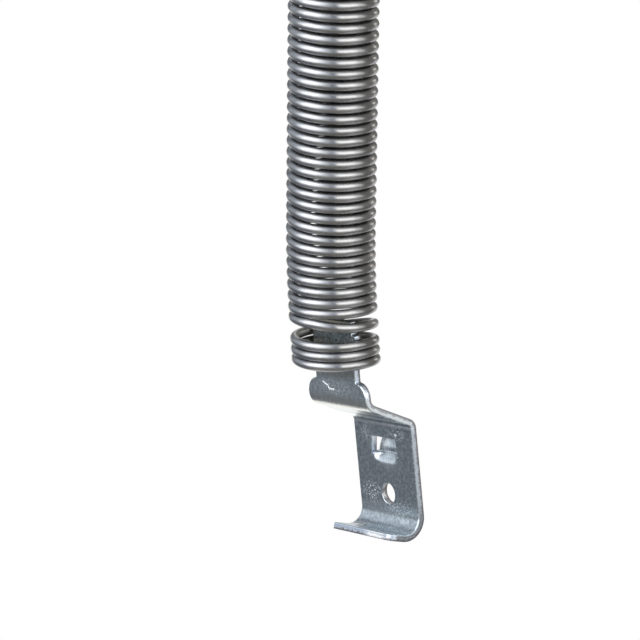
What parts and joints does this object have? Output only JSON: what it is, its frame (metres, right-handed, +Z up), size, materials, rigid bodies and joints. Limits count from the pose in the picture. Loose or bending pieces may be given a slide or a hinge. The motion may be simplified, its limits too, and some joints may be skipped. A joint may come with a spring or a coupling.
{
  "type": "garage door extension spring",
  "caption": "Long close-wound steel extension spring with a wire loop at its upper end and a folded, toothed steel bracket caught in its lower turns, with a fixing hole and hook tab.",
  "frame": {"origin": "centre of the fixing hole in the back plate of the bracket, at the middle of the sheet", "axes": "+Z up along the hanging spring, from the bracket to the loop; -Y is the front, to which the bottom flange is bent, and the hook tab stands behind the back plate; +X completes the right-handed frame"},
  "size_m": [0.0689, 0.0594, 0.4599],
  "materials": {
    "spring_wire": "dark drawn spring wire, lightly oiled",
    "plated_sheet": "zinc-plated sheet with bare sheared edges"
  },
  "bodies": {
    "root": {"coil_spring": "spring_wire", "end_bracket": "plated_sheet"}
  },
  "joints": []
}
